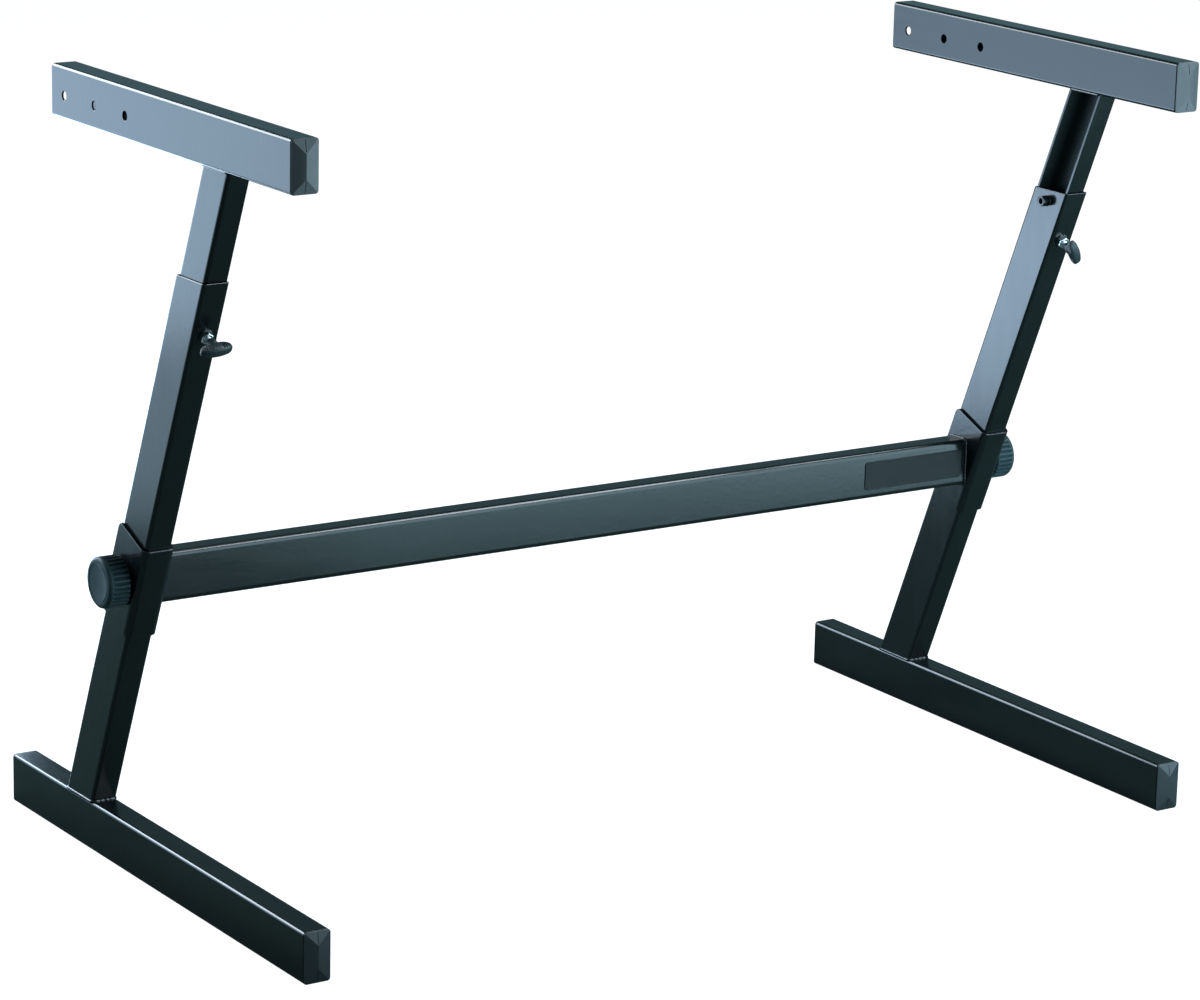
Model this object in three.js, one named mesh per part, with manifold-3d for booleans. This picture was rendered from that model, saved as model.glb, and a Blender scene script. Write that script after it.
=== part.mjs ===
// A single-tier Z-shaped keyboard stand: two steel side frames joined by a crossbar.
// Millimetres, +Z up, front toward -Y. The origin lies on the floor, under the middle of the stand.
// Each side frame has a foot, an upright tube leaning forward, a channel post that slides in it, and an arm.
import * as THREE from "three";
import { mergeVertices } from "three/addons/utils/BufferGeometryUtils.js";
import { ConvexGeometry } from "three/addons/geometries/ConvexGeometry.js";
import Module from "manifold-3d";

// Driving dimensions
const FRAME_SPACING = 902; // between the middles of the two side frames
const TUBE_HEIGHT = 45; // the one rectangular tube used for feet, uprights, arms and crossbar
const TUBE_WIDTH = 25;
const TUBE_WALL = 1.5;
const TUBE_CORNER = 3;
const FOOT_LENGTH = 540; // over the cap rims
const ARM_LENGTH = 420; // from the front cap's rim to the open rear end
const ARM_FRONT = -242; // how far forward the arms reach
const STAND_HEIGHT = 693; // floor to the top of the arms, as the posts are set
const UPRIGHT_FOOT = 112; // the upright's front edge where it stands on the foot
const UPRIGHT_TOP = 550; // height of the upright tube's level cut end
const LEAN = THREE.MathUtils.degToRad(22.5);
const GAP = 0.3; // between pieces that touch

// The post: a channel, open toward the inside of the stand
const POST_DEPTH = 40.6;
const POST_WIDTH = 21;
const POST_WALL = 2.5;
const POST_CORNER = 2.2;
const POST_BOTTOM = 360; // along the upright, from the foot's top

// End caps: a rim, a low hipped roof and a hollow plug
const CAP_RIM = 1.2;
const CAP_PEAK = 2.8;
const CAP_PLUG = 14;
const CAP_PLUG_WALL = 1.8;

// Holes near the arms' rear ends
const ARM_HOLE_DIAMETER = 8;
const ARM_HOLE_FIRST = 23.5; // from the arm's rear end
const ARM_HOLE_STEP = 56.5;
const ARM_HOLE_COUNT = 3;
const ARM_HOLE_DROP = 25; // below the arm's top

// Brackets, and the crossbar between them
const BRACKET_SHEET = 2.5;
const BRACKET_LENGTH = 92;
const BRACKET_REACH = 46; // depth of the flanges, from the upright's front face
const BRACKET_BEND = 5.8;
const BRACKET_CORNER = 5;
const BRACKET_CENTRE = 230; // along the upright, from the foot's top

// Round knobs and their studs
const KNOB_DIAMETER = 45;
const KNOB_HEIGHT = 21;
const KNOB_RIDGES = 30;
const KNOB_RIDGE_DEPTH = 1.2;
const KNOB_CHAMFER = 2.2;
const KNOB_FACE_RECESS = 0.8;
const KNOB_FACE_DIAMETER = 34;
const STUD_DIAMETER = 8;
const STUD_IN_KNOB = 11;
const STUD_PAST_NUT = 4;
const WASHER_DIAMETER = 24;
const WASHER_THICKNESS = 1.6;
const BRACKET_NUT_ACROSS_FLATS = 13;
const BRACKET_NUT_THICKNESS = 6.5;

// Clamp screws on the fronts of the uprights
const CLAMP_CENTRE = 494.8; // along the upright, from the foot's top
const SHANK_DIAMETER = 6;
const SHANK_IN_GRIP = 7;
const CLAMP_NUT_ACROSS_FLATS = 10;
const CLAMP_NUT_THICKNESS = 5;
const GRIP_START = 9; // from the upright's front face to the grip's collar
const GRIP_COLLAR_DIAMETER = 11;
const GRIP_COLLAR_LENGTH = 9;
const GRIP_SPAN = 29;
const GRIP_REACH = 17; // from the collar's start to the front of the wings
const GRIP_BACK = 5.2; // from the collar's start to the back of the wings
const GRIP_THICKNESS = 10.4;
const GRIP_TURN = { left: -6, right: 58 }; // degrees, as the two screws happen to stand

// Hollow sleeve through the inner wall of the right upright
const SLEEVE_SIDE = "right";
const SLEEVE_DIAMETER = 10;
const SLEEVE_BORE = 5.6;
const SLEEVE_CENTRE = 526; // along the upright, from the foot's top
const SLEEVE_SETBACK = 22.5; // behind the upright's front face
const SLEEVE_OUT = 7.5;
const SLEEVE_IN = 6;

// Bare plate on the crossbar
const PLATE_LENGTH = 115;
const PLATE_HEIGHT = 27;
const PLATE_THICKNESS = 0.6;
const PLATE_CORNER = 3;
const PLATE_FROM_END = 5;

// Worked out
const ARM_BOTTOM = STAND_HEIGHT - TUBE_HEIGHT;
const FLANGE_INSIDE = TUBE_WIDTH / 2 + GAP;
const FLANGE_OUTSIDE = FLANGE_INSIDE + BRACKET_SHEET;
const CROSSBAR_LENGTH = FRAME_SPACING - 2 * (FLANGE_OUTSIDE + GAP);
const AXLE_SETBACK = TUBE_HEIGHT / 2; // the knob's axis runs through the middle of the upright
const CORNER_STEPS = 3;
const ROUND_STEPS = 24;

const wasm = await Module();
wasm.setup();

// A closed geometry as a solid for cutting and joining.
function solidOf(geometry) {
  const bare = geometry.index ? geometry.toNonIndexed() : geometry.clone();
  for (const name of Object.keys(bare.attributes)) {
    if (name !== "position") bare.deleteAttribute(name);
  }
  const merged = mergeVertices(bare, 1e-4);
  return new wasm.Manifold(
    new wasm.Mesh({
      numProp: 3,
      vertProperties: merged.attributes.position.array,
      triVerts: new Uint32Array(merged.index.array),
    }),
  );
}

function geometryOf(solid) {
  const mesh = solid.getMesh();
  const geometry = new THREE.BufferGeometry();
  geometry.setAttribute("position", new THREE.BufferAttribute(mesh.vertProperties, 3));
  geometry.setIndex(new THREE.BufferAttribute(mesh.triVerts, 1));
  geometry.computeVertexNormals();
  return geometry;
}

function join(first, ...others) {
  return geometryOf(others.reduce((sum, g) => sum.add(solidOf(g)), solidOf(first)));
}

function cut(first, ...others) {
  return geometryOf(others.reduce((rest, g) => rest.subtract(solidOf(g)), solidOf(first)));
}

function common(first, second) {
  return geometryOf(solidOf(first).intersect(solidOf(second)));
}

// Outline helpers. A rounded rectangle is centred on the origin.
function traceRounded(path, width, height, corner) {
  const x = width / 2 - corner;
  const y = height / 2 - corner;
  path.moveTo(x + corner, -y);
  path.lineTo(x + corner, y);
  path.absarc(x, y, corner, 0, Math.PI / 2);
  path.lineTo(-x, y + corner);
  path.absarc(-x, y, corner, Math.PI / 2, Math.PI);
  path.lineTo(-x - corner, -y);
  path.absarc(-x, -y, corner, Math.PI, 1.5 * Math.PI);
  path.lineTo(x, -y - corner);
  path.absarc(x, -y, corner, 1.5 * Math.PI, 2 * Math.PI);
  return path;
}

function roundedRectangle(width, height, corner) {
  return traceRounded(new THREE.Shape(), width, height, corner);
}

function tubeOutline(width, height) {
  const outline = roundedRectangle(width, height, TUBE_CORNER);
  const wall = 2 * TUBE_WALL;
  outline.holes.push(
    traceRounded(new THREE.Path(), width - wall, height - wall, TUBE_CORNER - TUBE_WALL),
  );
  return outline;
}

function extrude(outline, depth) {
  return new THREE.ExtrudeGeometry(outline, {
    depth,
    bevelEnabled: false,
    curveSegments: CORNER_STEPS,
  });
}

// Extruded pieces that lie along X or Y, centred on the origin.
function extrudeAlongX(outline, length) {
  return extrude(outline, length).translate(0, 0, -length / 2).rotateX(Math.PI / 2).rotateZ(Math.PI / 2);
}

function extrudeAlongY(outline, length) {
  return extrude(outline, length).translate(0, 0, -length / 2).rotateX(Math.PI / 2);
}

function rodAlongX(diameter, length, sides = ROUND_STEPS) {
  return new THREE.CylinderGeometry(diameter / 2, diameter / 2, length, sides).rotateZ(Math.PI / 2);
}

function rodAlongY(diameter, length, sides = ROUND_STEPS) {
  return new THREE.CylinderGeometry(diameter / 2, diameter / 2, length, sides);
}

function hexAcrossFlats(acrossFlats) {
  return (acrossFlats * 2) / Math.sqrt(3);
}

// Materials
const finish = (color, roughness, metalness) =>
  new THREE.MeshStandardMaterial({ color, roughness, metalness });
const blackPaint = () => finish(0x1c2428, 0.45, 0.2);
const blackPlastic = () => finish(0x171c1f, 0.6, 0);
const bareSteel = () => finish(0xc4c9cc, 0.3, 1);
const plateFilm = () => finish(0x0e1416, 0.35, 0);

function piece(name, geometry, material) {
  const mesh = new THREE.Mesh(geometry, material);
  mesh.name = name;
  return mesh;
}

// A level slab in an upright's own frame, for the level cuts at its ends.
function levelSlab(lowest, highest) {
  const reach = 3000;
  const middle = (lowest + highest) / 2 - TUBE_HEIGHT;
  return new THREE.BoxGeometry(200, reach, highest - lowest).translate(0, 0, middle).rotateX(-LEAN);
}

// A tube along Y, whose length is over the rims of its caps. A single cap is the front one.
function cappedTube(length, caps) {
  const room = CAP_RIM + GAP;
  const tube = extrudeAlongY(tubeOutline(TUBE_WIDTH, TUBE_HEIGHT), length - caps * room);
  return tube.translate(0, ((2 - caps) * room) / 2, 0);
}

// A cap for a rear end, with its rim starting at y = 0 and its roof's ridge upright.
function capGeometry() {
  const halfWidth = TUBE_WIDTH / 2;
  const halfHeight = TUBE_HEIGHT / 2;
  const ridge = halfHeight - halfWidth;
  const corners = [];
  for (const x of [-halfWidth, halfWidth]) {
    for (const z of [-halfHeight, halfHeight]) {
      corners.push(new THREE.Vector3(x, 0, z), new THREE.Vector3(x, CAP_RIM, z));
    }
  }
  corners.push(new THREE.Vector3(0, CAP_RIM + CAP_PEAK, ridge));
  corners.push(new THREE.Vector3(0, CAP_RIM + CAP_PEAK, -ridge));
  const block = extrudeAlongY(roundedRectangle(TUBE_WIDTH, TUBE_HEIGHT, TUBE_CORNER), 20);
  const head = common(new ConvexGeometry(corners), block);
  const clear = 2 * (TUBE_WALL + GAP);
  const plugOutline = roundedRectangle(TUBE_WIDTH - clear, TUBE_HEIGHT - clear, 1.2);
  const hollow = clear + 2 * CAP_PLUG_WALL;
  plugOutline.holes.push(
    traceRounded(new THREE.Path(), TUBE_WIDTH - hollow, TUBE_HEIGHT - hollow, 0.6),
  );
  const plugLength = CAP_PLUG + CAP_RIM / 2;
  const plug = extrudeAlongY(plugOutline, plugLength).translate(0, CAP_RIM / 2 - plugLength / 2, 0);
  return join(head, plug);
}

function addCap(group, name, length, end) {
  const rimStart = length / 2 - CAP_RIM;
  const cap = piece(`${name}_cap_${end}`, capGeometry(), blackPlastic());
  if (end === "front") cap.rotation.z = Math.PI;
  cap.position.y = end === "front" ? -rimStart : rimStart;
  group.add(cap);
}

function makeFoot(side) {
  const group = new THREE.Group();
  group.add(piece(`${side}_foot`, cappedTube(FOOT_LENGTH, 2), blackPaint()));
  addCap(group, `${side}_foot`, FOOT_LENGTH, "front");
  addCap(group, `${side}_foot`, FOOT_LENGTH, "rear");
  group.position.z = TUBE_HEIGHT / 2;
  return group;
}

// The arm's rear end is open, and three holes go through both of its sides near that end.
function makeArm(side) {
  const drills = [];
  for (let i = 0; i < ARM_HOLE_COUNT; i += 1) {
    const y = ARM_LENGTH / 2 - ARM_HOLE_FIRST - i * ARM_HOLE_STEP;
    const z = TUBE_HEIGHT / 2 - ARM_HOLE_DROP;
    drills.push(rodAlongX(ARM_HOLE_DIAMETER, 2 * TUBE_WIDTH).translate(0, y, z));
  }
  const group = new THREE.Group();
  group.add(piece(`${side}_arm`, cut(cappedTube(ARM_LENGTH, 1), ...drills), blackPaint()));
  addCap(group, `${side}_arm`, ARM_LENGTH, "front");
  group.position.set(0, ARM_FRONT + ARM_LENGTH / 2, ARM_BOTTOM + TUBE_HEIGHT / 2);
  return group;
}

// Everything below, down to the crossbar, is in an upright's own frame: the front face is y = 0,
// z runs along the upright from the foot's top, and inward is the X direction to the stand's middle.
function uprightTube(side, inward) {
  const length = 700;
  const tube = extrude(tubeOutline(TUBE_WIDTH, TUBE_HEIGHT), length).translate(0, TUBE_HEIGHT / 2, -50);
  const axleHole = rodAlongX(STUD_DIAMETER + 2 * GAP, 2 * TUBE_WIDTH);
  const shankHole = rodAlongY(SHANK_DIAMETER + 2 * GAP, TUBE_HEIGHT);
  const drilled = cut(
    common(tube, levelSlab(TUBE_HEIGHT + GAP, UPRIGHT_TOP)),
    axleHole.translate(0, AXLE_SETBACK, BRACKET_CENTRE),
    shankHole.translate(0, 0, CLAMP_CENTRE),
  );
  if (side !== SLEEVE_SIDE) return drilled;
  const sleeveHole = rodAlongX(SLEEVE_DIAMETER + 2 * GAP, TUBE_WIDTH);
  return cut(drilled, sleeveHole.translate((inward * TUBE_WIDTH) / 2, SLEEVE_SETBACK, SLEEVE_CENTRE));
}

function postChannel(inward) {
  const outline = roundedRectangle(POST_WIDTH, POST_DEPTH, POST_CORNER);
  const length = 500;
  const middle = TUBE_HEIGHT / 2;
  const bar = extrude(outline, length).translate(0, middle, POST_BOTTOM);
  const slot = new THREE.BoxGeometry(POST_WIDTH, POST_DEPTH - 2 * POST_WALL, 3 * length);
  slot.translate(inward * POST_WALL, middle, POST_BOTTOM);
  return common(cut(bar, slot), levelSlab(TUBE_HEIGHT, ARM_BOTTOM - GAP));
}

function bracketGeometry() {
  const outerWidth = 2 * FLANGE_OUTSIDE;
  const face = GAP + BRACKET_SHEET; // the web's front, ahead of the upright's front face
  const depth = 2 * (BRACKET_REACH + face);
  const section = roundedRectangle(outerWidth, depth, BRACKET_BEND);
  const inside = BRACKET_BEND - BRACKET_SHEET;
  section.holes.push(
    traceRounded(new THREE.Path(), 2 * FLANGE_INSIDE, depth - 2 * BRACKET_SHEET, inside),
  );
  const ring = extrude(section, BRACKET_LENGTH).translate(0, depth / 2 - face, -BRACKET_LENGTH / 2);
  // Seen from the side: a plate that starts ahead of the web and ends in rounded rear corners.
  const sideLength = 2 * (BRACKET_REACH + face);
  const side = roundedRectangle(sideLength, BRACKET_LENGTH, BRACKET_CORNER);
  const sideCut = extrude(side, 100).translate(0, 0, -50).rotateZ(Math.PI / 2).rotateY(Math.PI / 2);
  sideCut.translate(0, BRACKET_REACH - sideLength / 2, 0);
  const drill = rodAlongX(STUD_DIAMETER + 2 * GAP, 100).translate(0, AXLE_SETBACK, 0);
  return cut(common(ring, sideCut), drill).translate(0, 0, BRACKET_CENTRE);
}

function ring(outerDiameter, boreDiameter, length, sides = ROUND_STEPS) {
  return cut(rodAlongX(outerDiameter, length, sides), rodAlongX(boreDiameter, 2 * length));
}

// The knob's side: trapezoid ridges all round. Its chamfered, dished face looks along +X.
function knobGeometry() {
  const outer = KNOB_DIAMETER / 2;
  const root = outer - KNOB_RIDGE_DEPTH;
  const outline = new THREE.Shape();
  const shares = [
    [0.05, root],
    [0.25, outer],
    [0.6, outer],
    [0.8, root],
  ];
  for (let i = 0; i < KNOB_RIDGES; i += 1) {
    for (const [share, radius] of shares) {
      const angle = ((i + share) / KNOB_RIDGES) * 2 * Math.PI;
      const x = radius * Math.cos(angle);
      const y = radius * Math.sin(angle);
      if (i === 0 && share === shares[0][0]) outline.moveTo(x, y);
      else outline.lineTo(x, y);
    }
  }
  const grip = extrude(outline, KNOB_HEIGHT);
  const face = KNOB_FACE_DIAMETER / 2;
  const profile = [
    new THREE.Vector2(0, 0),
    new THREE.Vector2(outer + 1, 0),
    new THREE.Vector2(outer + 1, KNOB_HEIGHT - KNOB_CHAMFER - 1),
    new THREE.Vector2(outer - KNOB_CHAMFER, KNOB_HEIGHT),
    new THREE.Vector2(face + KNOB_FACE_RECESS, KNOB_HEIGHT),
    new THREE.Vector2(face, KNOB_HEIGHT - KNOB_FACE_RECESS),
    new THREE.Vector2(0, KNOB_HEIGHT - KNOB_FACE_RECESS),
  ];
  const envelope = new THREE.LatheGeometry(profile, 2 * ROUND_STEPS).rotateX(Math.PI / 2);
  const bore = rodAlongX(STUD_DIAMETER + 2 * GAP, 2 * (STUD_IN_KNOB + GAP));
  return cut(common(grip, envelope).rotateY(Math.PI / 2), bore);
}

// The grip seen along the post: a collar, and two thick wings with a rounded front, like a hull (-Y).
function gripGeometry() {
  const half = GRIP_SPAN / 2;
  const tip = (GRIP_BACK + GRIP_REACH) / 2 - 1.5;
  const shoulder = GRIP_REACH - 2.5;
  const wings = new THREE.Shape();
  wings.moveTo(-half, -tip);
  wings.quadraticCurveTo(-half + 1, -GRIP_BACK - 0.5, -6, -GRIP_BACK);
  wings.lineTo(6, -GRIP_BACK);
  wings.quadraticCurveTo(half - 1, -GRIP_BACK - 0.5, half, -tip);
  wings.quadraticCurveTo(half, -shoulder + 1, half - 6, -shoulder);
  wings.quadraticCurveTo(0, -2 * GRIP_REACH + shoulder, -half + 6, -shoulder);
  wings.quadraticCurveTo(-half, -shoulder + 1, -half, -tip);
  const blade = extrude(wings, GRIP_THICKNESS).translate(0, 0, -GRIP_THICKNESS / 2);
  const collar = new THREE.CylinderGeometry(
    GRIP_COLLAR_DIAMETER / 2,
    GRIP_COLLAR_DIAMETER / 2 - 1,
    GRIP_COLLAR_LENGTH,
    ROUND_STEPS,
  ).translate(0, -GRIP_COLLAR_LENGTH / 2, 0);
  const bore = rodAlongY(SHANK_DIAMETER + 2 * GAP, 2 * (SHANK_IN_GRIP + GAP));
  return cut(join(blade, collar), bore);
}

function addClamp(group, side) {
  const nutFace = GAP + CLAMP_NUT_THICKNESS;
  const nut = cut(
    rodAlongY(hexAcrossFlats(CLAMP_NUT_ACROSS_FLATS), CLAMP_NUT_THICKNESS, 6),
    rodAlongY(SHANK_DIAMETER + 2 * GAP, 2 * CLAMP_NUT_THICKNESS),
  );
  nut.translate(0, CLAMP_NUT_THICKNESS / 2 - nutFace, CLAMP_CENTRE);
  group.add(piece(`${side}_clamp_nut`, nut, bareSteel()));
  const postFace = (TUBE_HEIGHT - POST_DEPTH) / 2;
  const shankEnd = -(GRIP_START + SHANK_IN_GRIP);
  const shankLength = postFace - GAP - shankEnd;
  const shank = rodAlongY(SHANK_DIAMETER, shankLength);
  shank.translate(0, shankEnd + shankLength / 2, CLAMP_CENTRE);
  group.add(piece(`${side}_clamp_shank`, shank, bareSteel()));
  const grip = piece(`${side}_clamp_grip`, gripGeometry(), blackPlastic());
  grip.position.set(0, -GRIP_START, CLAMP_CENTRE);
  grip.rotation.y = THREE.MathUtils.degToRad(GRIP_TURN[side]);
  group.add(grip);
}

function addKnob(group, side, inward) {
  const washerFace = FLANGE_OUTSIDE + GAP + WASHER_THICKNESS;
  const washer = ring(WASHER_DIAMETER, STUD_DIAMETER + 2 * GAP, WASHER_THICKNESS);
  washer.translate(-inward * (washerFace - WASHER_THICKNESS / 2), AXLE_SETBACK, BRACKET_CENTRE);
  group.add(piece(`${side}_knob_washer`, washer, bareSteel()));
  const knobStart = washerFace + GAP;
  const knob = piece(`${side}_knob`, knobGeometry(), blackPlastic());
  knob.position.set(-inward * knobStart, AXLE_SETBACK, BRACKET_CENTRE);
  if (inward > 0) knob.rotation.z = Math.PI;
  group.add(knob);
  const nutStart = FLANGE_OUTSIDE + GAP;
  const stud0 = -(knobStart + STUD_IN_KNOB);
  const stud1 = nutStart + BRACKET_NUT_THICKNESS + STUD_PAST_NUT;
  const stud = rodAlongX(STUD_DIAMETER, stud1 - stud0);
  stud.translate((inward * (stud0 + stud1)) / 2, AXLE_SETBACK, BRACKET_CENTRE);
  group.add(piece(`${side}_knob_stud`, stud, bareSteel()));
  const nut = ring(
    hexAcrossFlats(BRACKET_NUT_ACROSS_FLATS),
    STUD_DIAMETER + 2 * GAP,
    BRACKET_NUT_THICKNESS,
    6,
  );
  nut.translate(inward * (nutStart + BRACKET_NUT_THICKNESS / 2), AXLE_SETBACK, BRACKET_CENTRE);
  group.add(piece(`${side}_bracket_nut`, nut, bareSteel()));
}

function addSleeve(group, side, inward) {
  const length = SLEEVE_OUT + SLEEVE_IN;
  const middle = TUBE_WIDTH / 2 + (SLEEVE_OUT - SLEEVE_IN) / 2;
  const sleeve = ring(SLEEVE_DIAMETER, SLEEVE_BORE, length);
  sleeve.translate(inward * middle, SLEEVE_SETBACK, SLEEVE_CENTRE);
  group.add(piece(`${side}_guide_sleeve`, sleeve, blackPaint()));
}

function makeUpright(side, inward) {
  const group = new THREE.Group();
  group.add(piece(`${side}_upright`, uprightTube(side, inward), blackPaint()));
  group.add(piece(`${side}_post`, postChannel(inward), blackPaint()));
  group.add(piece(`${side}_bracket`, bracketGeometry(), blackPaint()));
  addClamp(group, side);
  addKnob(group, side, inward);
  if (side === SLEEVE_SIDE) addSleeve(group, side, inward);
  group.position.set(0, UPRIGHT_FOOT, TUBE_HEIGHT);
  group.rotation.x = LEAN;
  return group;
}

// The crossbar is in line with the knobs' axis, so its place follows from the lean.
function makeCrossbar() {
  const y = UPRIGHT_FOOT + AXLE_SETBACK * Math.cos(LEAN) - BRACKET_CENTRE * Math.sin(LEAN);
  const z = TUBE_HEIGHT + AXLE_SETBACK * Math.sin(LEAN) + BRACKET_CENTRE * Math.cos(LEAN);
  const group = new THREE.Group();
  const bar = extrudeAlongX(tubeOutline(TUBE_WIDTH, TUBE_HEIGHT), CROSSBAR_LENGTH);
  group.add(piece("crossbar", bar, blackPaint()));
  const outline = roundedRectangle(PLATE_LENGTH, PLATE_HEIGHT, PLATE_CORNER);
  const plate = extrudeAlongY(outline, PLATE_THICKNESS);
  const plateMiddle = CROSSBAR_LENGTH / 2 - PLATE_FROM_END - PLATE_LENGTH / 2;
  plate.translate(plateMiddle, -(TUBE_WIDTH / 2 + GAP + PLATE_THICKNESS / 2), 0);
  group.add(piece("name_plate_blank", plate, plateFilm()));
  group.position.set(0, y, z);
  return group;
}

function makeStand() {
  const stand = new THREE.Group();
  for (const [side, sign] of [
    ["left", -1],
    ["right", 1],
  ]) {
    const frame = new THREE.Group();
    frame.add(makeFoot(side), makeArm(side), makeUpright(side, -sign));
    frame.position.x = (sign * FRAME_SPACING) / 2;
    stand.add(frame);
  }
  stand.add(makeCrossbar());
  return stand;
}

export default makeStand();
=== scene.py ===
"""The looks of a Z-shaped keyboard stand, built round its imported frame.

Sizes are in millimetres, as in the part's source, until a mesh is made. The floor is z = 0, and the front is
toward -Y. Lamps and the camera are placed in metres.
"""

import math

import bmesh
import bpy
import numpy as np
from mathutils import Matrix, Vector


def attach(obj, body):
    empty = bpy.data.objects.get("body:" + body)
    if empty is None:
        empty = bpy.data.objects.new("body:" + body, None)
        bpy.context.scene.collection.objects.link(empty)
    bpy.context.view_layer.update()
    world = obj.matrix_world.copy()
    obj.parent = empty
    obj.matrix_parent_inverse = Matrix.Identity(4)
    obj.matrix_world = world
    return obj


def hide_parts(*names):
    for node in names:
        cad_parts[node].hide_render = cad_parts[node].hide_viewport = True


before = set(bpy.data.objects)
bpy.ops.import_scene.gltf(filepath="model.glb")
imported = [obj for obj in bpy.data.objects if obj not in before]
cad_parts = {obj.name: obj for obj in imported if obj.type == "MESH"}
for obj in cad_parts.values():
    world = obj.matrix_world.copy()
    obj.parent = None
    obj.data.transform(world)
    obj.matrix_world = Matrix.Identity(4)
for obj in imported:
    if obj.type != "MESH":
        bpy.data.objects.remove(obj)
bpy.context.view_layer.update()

MM = 0.001

# The stand's driving dimensions, as in the part's source
FRAME_X = 451.0  # from the stand's middle to the middle of a side frame
TUBE_HEIGHT = 45.0
TUBE_WIDTH = 25.0
TUBE_WALL = 1.5
TUBE_CORNER = 3.0
FOOT_LENGTH = 540.0
ARM_LENGTH = 420.0  # from the front cap's rim to the open rear end
ARM_FRONT = -242.0
STAND_HEIGHT = 693.0
UPRIGHT_FOOT = 112.0
UPRIGHT_TOP = 550.0
LEAN = math.radians(22.5)
GAP = 0.3

POST_DEPTH = 40.6
POST_WIDTH = 21.0
POST_WALL = 2.5
POST_CORNER = 3.4
POST_BOTTOM = 360.0

CAP_RIM = 1.2
CAP_PEAK = 2.8
CAP_PLUG = 14.0
CAP_JOINT = 0.6  # how far ahead of its plug's end the rim starts, which leaves a dark joint
CAP_SLIT = 9.5
CAP_SLIT_WIDTH = 0.55
CAP_SLIT_FROM_EDGE = 1.2
CAP_PLUG_CORNER = 1.2
HIP_START = 0.2  # the share of the roof's rise over which its hips turn from rounded to sharp
HIP_CORNER = 0.15  # the rounding that they keep
RIDGE_DROP = 0.04  # how much the ridge is blunted
ROOF_STEPS = (0.012, 0.05, 0.1, 0.15, 0.2, 0.5, 0.97, 0.999)  # shares of the way in to the ridge

ARM_HOLE_DIAMETER = 8.0
ARM_HOLE_FIRST = 23.5
ARM_HOLE_STEP = 56.5
ARM_HOLE_COUNT = 3
ARM_HOLE_DROP = 25.0

BRACKET_SHEET = 2.5
BRACKET_LENGTH = 92.0
BRACKET_REACH = 46.0
BRACKET_BEND = 5.8
BRACKET_CORNER = 5.0
BRACKET_CENTRE = 230.0

KNOB_RADIUS = 22.5
KNOB_HEIGHT = 21.0
KNOB_RIDGES = 30
KNOB_RIDGE_DEPTH = 2.2
KNOB_SIDE_FROM = 1.0  # the ridged side's height above the knob's seat
KNOB_SIDE_TO = 16.0
KNOB_RIM = 3.2  # the rounding between its side and its face
KNOB_RING = 17.0  # the radius of the fine groove in its face
KNOB_RING_DEPTH = 0.5
KNOB_DISH = 0.9
STUD_RADIUS = 4.0
STUD_PITCH = 1.25
STUD_THREAD_DEPTH = 0.6
STUD_IN_KNOB = 11.0
STUD_PAST_NUT = 4.0
WASHER_RADIUS = 12.0
WASHER_THICKNESS = 1.6
BRACKET_NUT_ACROSS_FLATS = 13.0
BRACKET_NUT_THICKNESS = 6.5
NUT_CHAMFER = 1.2  # how much a nut's corners widen for each millimetre away from its faces
PLAIN_END_DROP = 0.25  # how much thinner a rod's plain ends are than its thread

CLAMP_CENTRE = 494.8
SHANK_RADIUS = 3.0
SHANK_PITCH = 1.0
SHANK_THREAD_DEPTH = 0.5
SHANK_IN_GRIP = 7.0
CLAMP_NUT_ACROSS_FLATS = 10.0
CLAMP_NUT_THICKNESS = 5.0
CLAMP_NUT_ROUNDING = 0.9
GRIP_START = 9.0
GRIP_BACK = 5.2
GRIP_REACH = 17.0
GRIP_HALF_SPAN = 14.5
GRIP_HALF_THICKNESS = 5.0
GRIP_POWER = 0.6  # its sections are superellipses: under 1 they are squarer than an ellipse
GRIP_PAD_FROM = 0.28  # shares of the half span
GRIP_PAD_TO = 0.86
GRIP_PAD_DEPTH = 0.75
GRIP_RIB_RISE = 0.85  # the share of the pad's depth by which the ribs stand up in it
GRIP_RIB_PITCH = 2.2
GRIP_COLLAR_RADIUS = 5.5
GRIP_COLLAR_LENGTH = 9.0
GRIP_TURN = {"left": math.radians(-6), "right": math.radians(58)}

SLEEVE_RADIUS = 5.0
SLEEVE_BORE = 2.8
SLEEVE_CENTRE = 526.0
SLEEVE_SETBACK = 22.5
SLEEVE_OUT = 7.5
SLEEVE_IN = 6.0

PLATE_LENGTH = 115.0
PLATE_HEIGHT = 27.0
PLATE_THICKNESS = 0.6
PLATE_CORNER = 3.0
PLATE_FROM_END = 5.0
PLATE_SINK = 0.22  # how far its middle lies below its border

# Welds: how far a tube runs into its neighbour, the beads' radii, and where their middle lines run
WELD_LAP = 0.2
FOOT_BEAD = 1.5
POST_BEAD = 1.3
NUT_BEAD = 1.4
CROSSBAR_BEAD = 1.5
SLEEVE_BEAD = 0.45
BEAD_OUT = 0.3  # outside the tube's faces
FOOT_BEAD_INSET = 0.6  # inside the upright's sides, so that the bead stays on the foot
FOOT_BEAD_CORNER = 3.4

# Worked out
ARM_BOTTOM = STAND_HEIGHT - TUBE_HEIGHT
FLANGE_INSIDE = TUBE_WIDTH / 2 + GAP
FLANGE_OUTSIDE = FLANGE_INSIDE + BRACKET_SHEET
CROSSBAR_LENGTH = 2 * (FRAME_X - FLANGE_OUTSIDE - GAP)
AXLE_SETBACK = TUBE_HEIGHT / 2
COS, SIN = math.cos(LEAN), math.sin(LEAN)

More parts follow.
